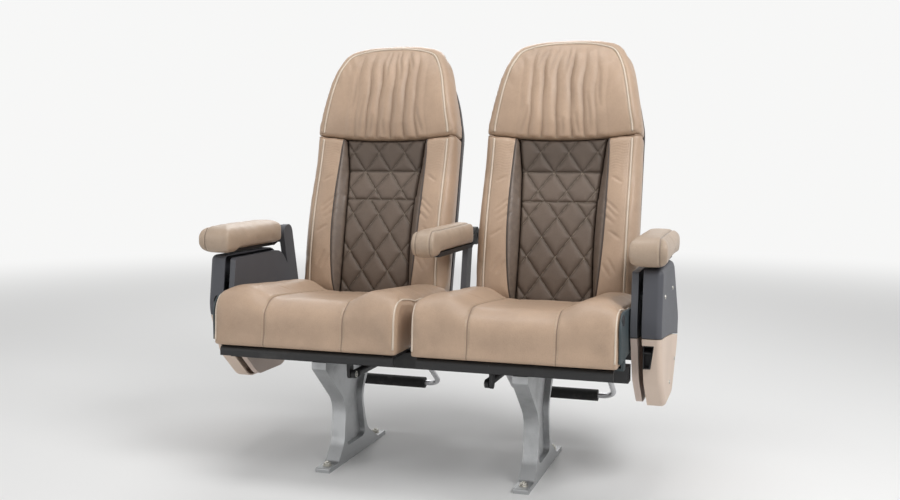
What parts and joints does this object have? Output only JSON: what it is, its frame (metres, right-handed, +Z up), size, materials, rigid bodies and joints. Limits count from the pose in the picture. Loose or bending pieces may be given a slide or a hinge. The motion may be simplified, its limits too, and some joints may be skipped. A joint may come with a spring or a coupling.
{
  "type": "coach double passenger seat",
  "caption": "Pair of reclining coach seats on one floor-mounted frame, with folding armrests, tray tables, literature pockets and footrests.",
  "frame": {"origin": "on the floor, at the centre of the four floor bolt holes", "axes": "+Z up, the passengers face -Y, +X towards the aisle"},
  "size_m": [1.24, 0.7657, 1.1804],
  "materials": {
    "seat_leather": "satin",
    "quilted_leather": "satin",
    "armrest_skin": "satin",
    "cover_plastic": "matte",
    "charcoal_plastic": "matte",
    "dark_plastic": "matte",
    "frame_steel": "satin",
    "plate_grey": "satin",
    "leg_aluminium": "satin",
    "bright_steel": "satin",
    "grip_rubber": "matte",
    "pocket_fabric": "matte"
  },
  "bodies": {
    "base": {"leg_aisle": "leg_aluminium", "leg_window": "leg_aluminium", "front_cross_tube": "frame_steel", "rear_cross_tube": "frame_steel", "recline_shaft": "bright_steel", "centre_bracket": "frame_steel", "footrest_hangers": "frame_steel", "strut_brackets": "frame_steel", "side_plate_aisle": "plate_grey", "console_upper_aisle": "charcoal_plastic", "console_lower_aisle": "cover_plastic", "recline_lever_aisle": "dark_plastic", "seat_pan_aisle": "frame_steel", "cushion_aisle": "seat_leather", "seat_shield_aisle": "charcoal_plastic", "strut_barrel_aisle": "frame_steel", "side_plate_window": "plate_grey", "console_upper_window": "charcoal_plastic", "console_lower_window": "cover_plastic", "recline_lever_window": "dark_plastic", "seat_pan_window": "frame_steel", "cushion_window": "seat_leather", "seat_shield_window": "charcoal_plastic", "strut_barrel_window": "frame_steel"},
    "aisle_backrest": {"back_frame_aisle": "frame_steel", "back_shell_aisle": "charcoal_plastic", "back_pad_aisle": "seat_leather", "back_insert_aisle": "quilted_leather", "headrest_pad_aisle": "seat_leather", "tray_hinges_aisle": "dark_plastic", "literature_pocket_aisle": "pocket_fabric", "tray_catch_aisle": "dark_plastic"},
    "aisle_strut_rod": {"strut_rod_aisle": "bright_steel"},
    "aisle_tray": {"tray_aisle": "cover_plastic"},
    "aisle_armrest": {"arm_bar_aisle": "frame_steel", "arm_pad_aisle": "armrest_skin"},
    "aisle_footrest": {"footrest_aisle": "bright_steel", "footrest_sleeve_aisle": "grip_rubber"},
    "window_backrest": {"back_frame_window": "frame_steel", "back_shell_window": "charcoal_plastic", "back_pad_window": "seat_leather", "back_insert_window": "quilted_leather", "headrest_pad_window": "seat_leather", "tray_hinges_window": "dark_plastic", "literature_pocket_window": "pocket_fabric", "tray_catch_window": "dark_plastic"},
    "window_strut_rod": {"strut_rod_window": "bright_steel"},
    "window_tray": {"tray_window": "cover_plastic"},
    "window_armrest": {"arm_bar_window": "frame_steel", "arm_pad_window": "armrest_skin"},
    "window_footrest": {"footrest_window": "bright_steel", "footrest_sleeve_window": "grip_rubber"},
    "centre_armrest": {"arm_bar_centre": "frame_steel", "arm_pad_centre": "armrest_skin"}
  },
  "joints": [
    {"name": "recline_aisle", "type": "hinge", "parent": "base", "child": "aisle_backrest", "pos_m": [0.27, 0.19, 0.37], "axis": [-1, 0, 0], "range_deg": [0, 24]},
    {"name": "tray_fold_aisle", "type": "hinge", "parent": "aisle_backrest", "child": "aisle_tray", "pos_m": [0.27, 0.32759, 0.6903], "axis": [-1, 0, 0], "range_deg": [0, 75]},
    {"name": "armrest_lift_aisle", "type": "hinge", "parent": "base", "child": "aisle_armrest", "pos_m": [0.573, 0.135, 0.606], "axis": [-1, 0, 0], "range_deg": [0, 100]},
    {"name": "footrest_swing_aisle", "type": "hinge", "parent": "base", "child": "aisle_footrest", "pos_m": [0.27, 0.132, 0.284], "axis": [1, 0, 0], "range_deg": [-20, 30]},
    {"name": "strut_stroke_aisle", "type": "slide", "parent": "base", "child": "aisle_strut_rod", "axis": [0, -1, 0], "range_m": [0, 0.04178]},
    {"name": "recline_window", "type": "hinge", "parent": "base", "child": "window_backrest", "pos_m": [-0.27, 0.19, 0.37], "axis": [-1, 0, 0], "range_deg": [0, 24]},
    {"name": "tray_fold_window", "type": "hinge", "parent": "window_backrest", "child": "window_tray", "pos_m": [-0.27, 0.32759, 0.6903], "axis": [-1, 0, 0], "range_deg": [0, 75]},
    {"name": "armrest_lift_window", "type": "hinge", "parent": "base", "child": "window_armrest", "pos_m": [-0.573, 0.135, 0.606], "axis": [-1, 0, 0], "range_deg": [0, 100]},
    {"name": "footrest_swing_window", "type": "hinge", "parent": "base", "child": "window_footrest", "pos_m": [-0.27, 0.132, 0.284], "axis": [1, 0, 0], "range_deg": [-20, 30]},
    {"name": "strut_stroke_window", "type": "slide", "parent": "base", "child": "window_strut_rod", "axis": [0, -1, 0], "range_m": [0, 0.04178]},
    {"name": "armrest_lift_centre", "type": "hinge", "parent": "base", "child": "centre_armrest", "pos_m": [0, 0.235, 0.606], "axis": [-1, 0, 0], "range_deg": [0, 100]}
  ],
  "couplings": [
    {"joint": "strut_stroke_aisle", "follows": "recline_aisle", "m_per_rad": 0.099271},
    {"joint": "strut_stroke_window", "follows": "recline_window", "m_per_rad": 0.099271}
  ]
}
